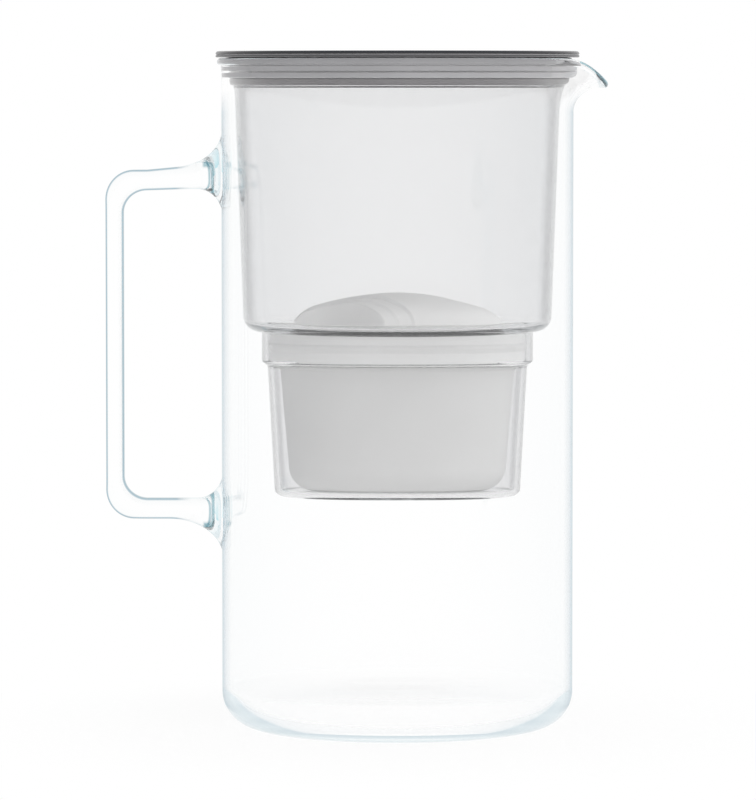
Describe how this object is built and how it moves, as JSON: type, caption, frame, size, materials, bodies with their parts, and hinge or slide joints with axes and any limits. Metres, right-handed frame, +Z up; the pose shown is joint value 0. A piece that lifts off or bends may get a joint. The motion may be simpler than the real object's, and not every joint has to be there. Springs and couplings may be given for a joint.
{
  "type": "water filter pitcher",
  "caption": "Straight glass jug with a fused handle and pulled spout, holding a clear hopper with an oval filter cartridge in a well under it, a ribbed seal at the rim and a flat lid.",
  "frame": {"origin": "centre of the jug's base on the jug's axis, on the surface it stands on", "axes": "+Z up along the jug's axis, +X towards the spout, the handle on -X"},
  "size_m": [0.2073, 0.1496, 0.2788],
  "materials": {
    "jug_glass": "clear blown borosilicate glass",
    "clear_plastic": "clear grey-tinted moulding",
    "collar_plastic": "satin dark grey moulding",
    "lid_plastic": "glossy dark grey moulding",
    "seal_silicone": "satin grey silicone",
    "pale_silicone": "pale grey silicone",
    "cartridge_plastic": "matte pale grey moulding",
    "screen_mesh": "woven nylon mesh",
    "fleece": "white needled fleece",
    "carbon": "black carbon grains",
    "resin": "amber resin beads"
  },
  "bodies": {
    "jug": {"glass_jug": "jug_glass", "glass_handle": "jug_glass"},
    "hopper_unit": {"hopper_collar": "collar_plastic", "collar_seal": "seal_silicone", "hopper": "clear_plastic", "cartridge_well": "clear_plastic"},
    "lid": {"lid_cover": "lid_plastic", "lid_underplate": "collar_plastic", "lid_gasket": "pale_silicone"},
    "cartridge": {"cartridge_cup": "cartridge_plastic", "cartridge_cap": "cartridge_plastic", "cartridge_seal": "pale_silicone", "inlet_screen": "screen_mesh", "inlet_fleece": "fleece", "carbon_bed": "carbon", "divider_fleece": "fleece", "resin_bed": "resin", "outlet_fleece": "fleece", "outlet_screen": "screen_mesh"}
  },
  "joints": [
    {"name": "hopper_lift", "type": "slide", "parent": "jug", "child": "hopper_unit", "axis": [0, 0, 1], "range_m": [0, 0.19]},
    {"name": "lid_lift", "type": "slide", "parent": "hopper_unit", "child": "lid", "axis": [0, 0, 1], "range_m": [0, 0.06]},
    {"name": "cartridge_lift", "type": "slide", "parent": "hopper_unit", "child": "cartridge", "axis": [0, 0, 1], "range_m": [0, 0.08]}
  ]
}
